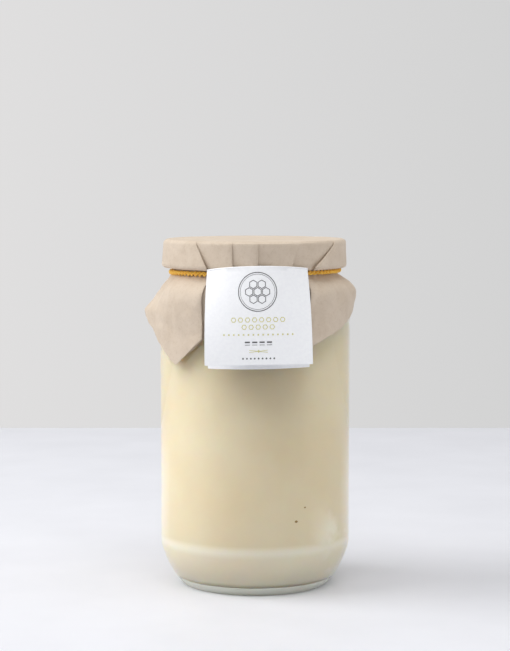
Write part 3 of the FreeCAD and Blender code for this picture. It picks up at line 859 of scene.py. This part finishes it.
def hair(around):
    """Rings of a thin bent hair that leaves the twine and lies back along it."""
    start = draw.uniform(0, 2 * math.pi)
    reach = draw.uniform(0.3, 1.1)
    sweep = draw.choice((-1, 1)) * draw.uniform(1.0, 3.5)
    rings = []
    for i in range(HAIR_STEPS + 1):
        t = i / HAIR_STEPS
        turn = around + sweep * t / TWINE_RADIUS
        off = 0.95 + reach * math.sin(math.pi * 0.62 * t)
        radius = TWINE_RADIUS + off * math.cos(start)
        height = TWINE_LEVEL + twine_rise(turn) + off * math.sin(start)
        centre = Vector((radius * math.sin(turn), -radius * math.cos(turn), height))
        width = HAIR_RADIUS * (1 - 0.7 * t)
        rings.append([centre + Vector((math.cos(a) * math.sin(turn) * width,
                                       -math.cos(a) * math.cos(turn) * width,
                                       math.sin(a) * width)) for a in HAIR_CORNERS])
    return rings


points, faces = [], []
for _ in range(HAIRS):
    first = len(points)
    for ring in hair(draw.uniform(0, 2 * math.pi)):
        points += [p * MM for p in ring]
    for j in range(HAIR_STEPS):
        for k in range(3):
            a, b = first + 3 * j + k, first + 3 * j + (k + 1) % 3
            faces.append((a, b, b + 3, a + 3))
    last = first + 3 * HAIR_STEPS
    faces += [(first + 2, first + 1, first), (last, last + 1, last + 2)]
fluff_mesh = bpy.data.meshes.new("twine_hairs")
fluff_mesh.from_pydata(points, [], faces)
hairs = bpy.data.objects.new("twine_hairs", fluff_mesh)
bpy.context.collection.objects.link(hairs)
plies.append(hairs)
print("hairs:", HAIRS)

# %% Twine material
TWINE_STRANDS = 1400.0  # cotton strands about 0.7 mm apart

mustard, tree, where, out = material("mustard_cotton_twine")
strands = add(tree, NOISE, inputs={"Scale": TWINE_STRANDS, "Detail": 2.0},
              links={"Vector": where})
tone = add(tree, RAMP, links={"Fac": strands.outputs["Fac"]},
           stops=[(0.3, "#F4AE26"), (0.7, "#FFD85F")])
rough = add(tree, "ShaderNodeBump", inputs={"Strength": 0.5, "Distance": 0.0003},
            links={"Height": strands.outputs["Fac"]})
shader = add(tree, PRINCIPLED, inputs={"Roughness": 0.85, "Sheen Weight": 0.3},
             links={"Base Color": tone.outputs["Color"], "Normal": rough.outputs["Normal"]})
tree.links.new(shader.outputs[0], out.inputs["Surface"])
for strand in plies:
    strand.data.materials.append(mustard)

# %% [markdown]
# ## The card
# A strip of smooth white card folded in half over the twine. Its fold is bent round the lid's edge, and the
# front leaf straightens out as it leans away from the jar. The sheet is a grid whose rows are the stations
# that the card passes, joined by a smooth curve, and its print is thin shapes laid on that same surface.

# %% Card surface
CARD_WIDTH = tag_high.x - tag_low.x
CARD_THICKNESS = 0.3
CARD_SHIFT = 1.0
CARD_TILT = math.radians(0.9)
CARD_DROOP = 1.6
FOLD_LEVEL = tag_high.z
FRONT_HEIGHT = 43.2
BACK_HEIGHT = 46.0
LEAN = 10.5
FOLD_WIDTH = 0.9
FOLD_BEND = 41.0  # the radius that the fold is bent to round the lid
END_CURL = 0.0012
LEAN_EASE = 0.35
CARD_COLUMNS = 40
LEAF_ROWS = 24
REACH = BAND_RADIUS + 1.55


def front_row(share):
    """The front leaf at a share of its height below the fold: distance from the axis, height, curvature."""
    reach = REACH + FOLD_WIDTH + LEAN * ((1 + LEAN_EASE) * share - LEAN_EASE * share**2)
    height = FOLD_LEVEL - 0.5 * FOLD_WIDTH - FRONT_HEIGHT * share
    return reach, height, (1 - share) ** 1.3 / FOLD_BEND + END_CURL


def back_rows():
    """The back leaf from the fold down: in between paper and twine, then over the skirt."""
    neck = PAPER_NECK + 0.35
    leave_neck = skirt_radius(0, 3.2) + 2.3
    on_skirt = skirt_radius(0, 7.7) + 2.4
    path = [
        (REACH, FOLD_LEVEL - 0.5 * FOLD_WIDTH, 1 / FOLD_BEND),
        (REACH - 0.2, FOLD_LEVEL - 1.6, 1 / FOLD_BEND),
        (TWINE_RADIUS + 0.8, FOOT - 0.35, 1 / 40.5),
        (neck, TWINE_LEVEL + 0.7, 1 / neck),
        (neck, TWINE_LEVEL - 0.7, 1 / neck),
        (leave_neck, TWINE_LEVEL - 4.0, 1 / leave_neck),
        (on_skirt, TWINE_LEVEL - 8.5, 1 / on_skirt),
        (skirt_radius(0, 13.7) + 2.4, FOLD_LEVEL - 0.4 * BACK_HEIGHT, 1 / 48.0),
        (skirt_radius(0, 25.0) + 4.6, FOLD_LEVEL - 0.7 * BACK_HEIGHT, 1 / 44.0),
        (skirt_radius(0, 41.5) + 6.6, FOLD_LEVEL - BACK_HEIGHT, 1 / 42.0),
    ]
    rows = []
    for k in range(len(path) - 1):
        before, a, b, after = (path[min(max(k + n, 0), len(path) - 1)] for n in (-1, 0, 1, 2))
        for i in range(6):
            t = i / 6
            rows.append(tuple(0.5 * (2 * q + (r - p) * t + (2 * p - 5 * q + 4 * r - w) * t**2
                                     + (3 * q - p - 3 * r + w) * t**3)
                              for p, q, r, w in zip(before, a, b, after)))
    return rows + [path[-1]]


def card_point(across, row):
    """A point of the card's middle surface; across is in millimetres from its middle."""
    reach, height, curl = row
    turn = across * curl
    x = math.sin(turn) / curl
    y = (1 - math.cos(turn)) / curl - reach
    near_fold = math.exp(-(((FOLD_LEVEL - height) / 14.0) ** 2))
    z = height - CARD_DROOP * (2 * across / CARD_WIDTH) ** 2 * near_fold
    held = 0.0 if reach > REACH - 0.1 else smooth((REACH - reach) / 3)
    away = z - FOLD_LEVEL
    tilt = CARD_TILT * (1 - held)
    return Vector((x * math.cos(tilt) - away * math.sin(tilt) + CARD_SHIFT, y,
                   FOLD_LEVEL + away * math.cos(tilt) + x * math.sin(tilt)))


card_path = [front_row(1 - i / LEAF_ROWS) for i in range(LEAF_ROWS + 1)]
for i in range(1, 8):
    turn = math.pi * i / 8
    card_path.append((REACH + FOLD_WIDTH * (1 + math.cos(turn)) / 2,
                      FOLD_LEVEL - 0.5 * FOLD_WIDTH * (1 - math.sin(turn)), 1 / FOLD_BEND))
card_path += back_rows()
card_rows = [[card_point(CARD_WIDTH * (i / CARD_COLUMNS - 0.5), row) for i in range(CARD_COLUMNS + 1)]
             for row in card_path]
card = grid_object("folded_card", card_rows, False)
thicken(card, CARD_THICKNESS)
bpy.ops.object.shade_smooth_by_angle(angle=math.radians(40))
print("card:", len(card.data.polygons), "faces")

# %% Card material
CARD_TOOTH = 700.0  # the coating's tooth, about 1.4 mm across, coarser than it is, so that it shows

white_card, tree, where, out = material("smooth_white_card")
tooth = add(tree, NOISE, inputs={"Scale": CARD_TOOTH, "Detail": 3.0}, links={"Vector": where})
tone = add(tree, RAMP, links={"Fac": tooth.outputs["Fac"]},
           stops=[(0.35, "#F7F8FB"), (0.65, "#FBFCFE")])
rough = add(tree, "ShaderNodeBump", inputs={"Strength": 0.1, "Distance": 0.0001},
            links={"Height": tooth.outputs["Fac"]})
shader = add(tree, PRINCIPLED, inputs={"Roughness": 0.6},
             links={"Base Color": tone.outputs["Color"], "Normal": rough.outputs["Normal"]})
tree.links.new(shader.outputs[0], out.inputs["Surface"])
card.data.materials.append(white_card)

# %% [markdown]
# ## What is printed on the card
# A ring round a small honeycomb, then rows of little hexagons, dots and dashes and two crossed bars, in
# yellow-green and dark grey. Each is a thin flat shape, drawn on a flat plane in card measures, joined by
# colour, and then laid on the card's front leaf, so that the ink follows the bend of the card.

# %% Ink shapes
INK = 0.03
INK_GRAIN = 900.0  # unevenness from the press, about 1.1 mm across


def flat_ring(x, y, radius, stroke, sides, turn=0.0):
    """A polygon outline on the flat card; x is across and y is down from the fold."""
    bpy.ops.mesh.primitive_circle_add(vertices=sides, radius=radius * MM, location=(x * MM, y * MM, 0),
                                      rotation=(0, 0, turn))
    bpy.ops.object.mode_set(mode="EDIT")
    bpy.ops.mesh.select_all(action="SELECT")
    bpy.ops.mesh.extrude_edges_move()
    inner = 1 - stroke / radius
    bpy.ops.transform.resize(value=(inner, inner, 1), center_override=(x * MM, y * MM, 0))
    bpy.ops.object.mode_set(mode="OBJECT")
    return bpy.context.object


def flat_dot(x, y, radius, sides):
    """A filled polygon on the flat card."""
    bpy.ops.mesh.primitive_circle_add(vertices=sides, radius=radius * MM, fill_type="NGON",
                                      location=(x * MM, y * MM, 0))
    return bpy.context.object


def flat_bar(x, y, width, height, turn=0.0):
    """A bar on the flat card, in eight lengths so that it can bend with it."""
    bpy.ops.mesh.primitive_grid_add(x_subdivisions=8, y_subdivisions=1, size=MM,
                                    location=(x * MM, y * MM, 0), rotation=(0, 0, turn))
    bpy.context.object.scale = (width, height, 1.0)
    return bpy.context.object


def row_of(count, pitch, make):
    """Shapes made side by side, centred on the card; make takes each one's place across."""
    return [make((i - (count - 1) / 2) * pitch) for i in range(count)]


def ink(name, shapes, hex_colour):
    """Joins flat shapes, gives them a thickness and lays them on the front leaf."""
    bpy.ops.object.select_all(action="DESELECT")
    for shape in shapes:
        shape.select_set(True)
    bpy.context.view_layer.objects.active = shapes[0]
    bpy.ops.object.transform_apply(location=True, rotation=True, scale=True)
    bpy.ops.object.join()
    joined = bpy.context.object
    joined.name = name
    thicken(joined, INK)
    for vertex in joined.data.vertices:
        x, y, lift = (c / MM for c in vertex.co)
        share = y / FRONT_HEIGHT
        here = card_point(x, front_row(share))
        right = card_point(x + 0.1, front_row(share)) - here
        up = card_point(x, front_row(share - 0.002)) - here
        out_way = right.cross(up).normalized()
        vertex.co = (here + out_way * (CARD_THICKNESS / 2 + INK + lift)) * MM
    bpy.ops.object.mode_set(mode="EDIT")
    bpy.ops.mesh.select_all(action="SELECT")
    bpy.ops.mesh.normals_make_consistent(inside=False)
    bpy.ops.object.mode_set(mode="OBJECT")
    colour, tree, where, out = material("ink_" + name)
    press = add(tree, NOISE, inputs={"Scale": INK_GRAIN},
                links={"Vector": where})
    light_tone = "#" + "".join(f"{min(int(hex_colour[i:i + 2], 16) + 14, 255):02X}" for i in (1, 3, 5))
    tone = add(tree, RAMP, links={"Fac": press.outputs["Fac"]},
               stops=[(0.35, hex_colour), (0.70, light_tone)])
    shader = add(tree, PRINCIPLED, inputs={"Roughness": 0.5},
                 links={"Base Color": tone.outputs["Color"]})
    tree.links.new(shader.outputs[0], out.inputs["Surface"])
    joined.data.materials.append(colour)
    print(name, len(shapes), "shapes")
    return joined


# %% Lay out and ink the shapes
RING_DOWN = 10.9
RING_RADIUS = 8.8
CELL = 2.05
CELL_STEP = CELL * 1.86
CELL_LINE = 0.34

bpy.ops.object.select_all(action="DESELECT")
dark = [flat_ring(0, RING_DOWN, RING_RADIUS, 0.36, 72), flat_ring(0, RING_DOWN, RING_RADIUS - 0.9, 0.16, 72),
        flat_ring(0, RING_DOWN, CELL, CELL_LINE, 6)]
for i in range(6):
    way = math.pi * i / 3
    across, down = CELL_STEP * math.cos(way), RING_DOWN + CELL_STEP * math.sin(way)
    dark.append(flat_ring(across, down, CELL, CELL_LINE, 6))
dark += row_of(4, 3.3, lambda x: flat_bar(x, 33.2, 2.3, 0.62))
dark += row_of(4, 3.3, lambda x: flat_bar(x, 34.4, 2.3, 0.22))
dark += row_of(9, 1.75, lambda x: flat_dot(x, 40.4, 0.40, 8))
green = row_of(8, 3.15, lambda x: flat_ring(x, 23.3, 1.2, 0.30, 6, math.pi / 2))
green += row_of(5, 3.15, lambda x: flat_ring(x, 26.5, 1.2, 0.30, 6, math.pi / 2))
pale = row_of(15, 2.2, lambda x: flat_dot(x, 29.9, 0.46, 6))
pale += [flat_bar(0, 37.2, 8.5, 0.22, 0.12), flat_bar(0, 37.2, 8.5, 0.22, -0.12),
         flat_dot(0, 37.2, 0.7, 4)]
inks = [ink("dark_grey", dark, "#4A4A4C"), ink("yellow_green", green, "#C6C05A"),
        ink("pale_green", pale, "#CFCB8E")]

# %% [markdown]
# ## The lid under the paper
# The lid stays as the solid model has it, since the paper hides it. It still has a look of its own, for
# anyone who takes the paper off: gold lacquer over tinplate, with the fine grain of rolled sheet.

# %% Lacquered tinplate
SHEET_GRAIN = 900.0  # rolling grain about 1.1 mm across, coarser than it is, so that it shows

tinplate, tree, where, out = material("lacquered_tinplate")
grain = add(tree, NOISE, inputs={"Scale": SHEET_GRAIN, "Detail": 3.0},
            links={"Vector": where})
tone = add(tree, RAMP, links={"Fac": grain.outputs["Fac"]},
           stops=[(0.35, "#D3B160"), (0.65, "#DDBF74")])
shader = add(tree, PRINCIPLED, inputs={"Metallic": 1.0, "Roughness": 0.32},
             links={"Base Color": tone.outputs["Color"]})
tree.links.new(shader.outputs[0], out.inputs["Surface"])
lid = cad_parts["lid"]
lid.data.materials.clear()
lid.data.materials.append(tinplate)
print("lid:", len(lid.data.polygons), "faces, kept from the solid model")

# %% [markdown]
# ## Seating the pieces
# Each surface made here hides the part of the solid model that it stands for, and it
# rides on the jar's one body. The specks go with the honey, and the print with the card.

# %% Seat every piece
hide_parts("glass_jar")
for part in [honey] + specks:
    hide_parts("honey")
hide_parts("paper_cover")
for strand in plies:
    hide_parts("twine")
for leaf in [card] + inks:
    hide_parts("tag")
for piece in [glass_jar, honey, paper, card] + specks + plies + inks:
    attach(piece, "root")
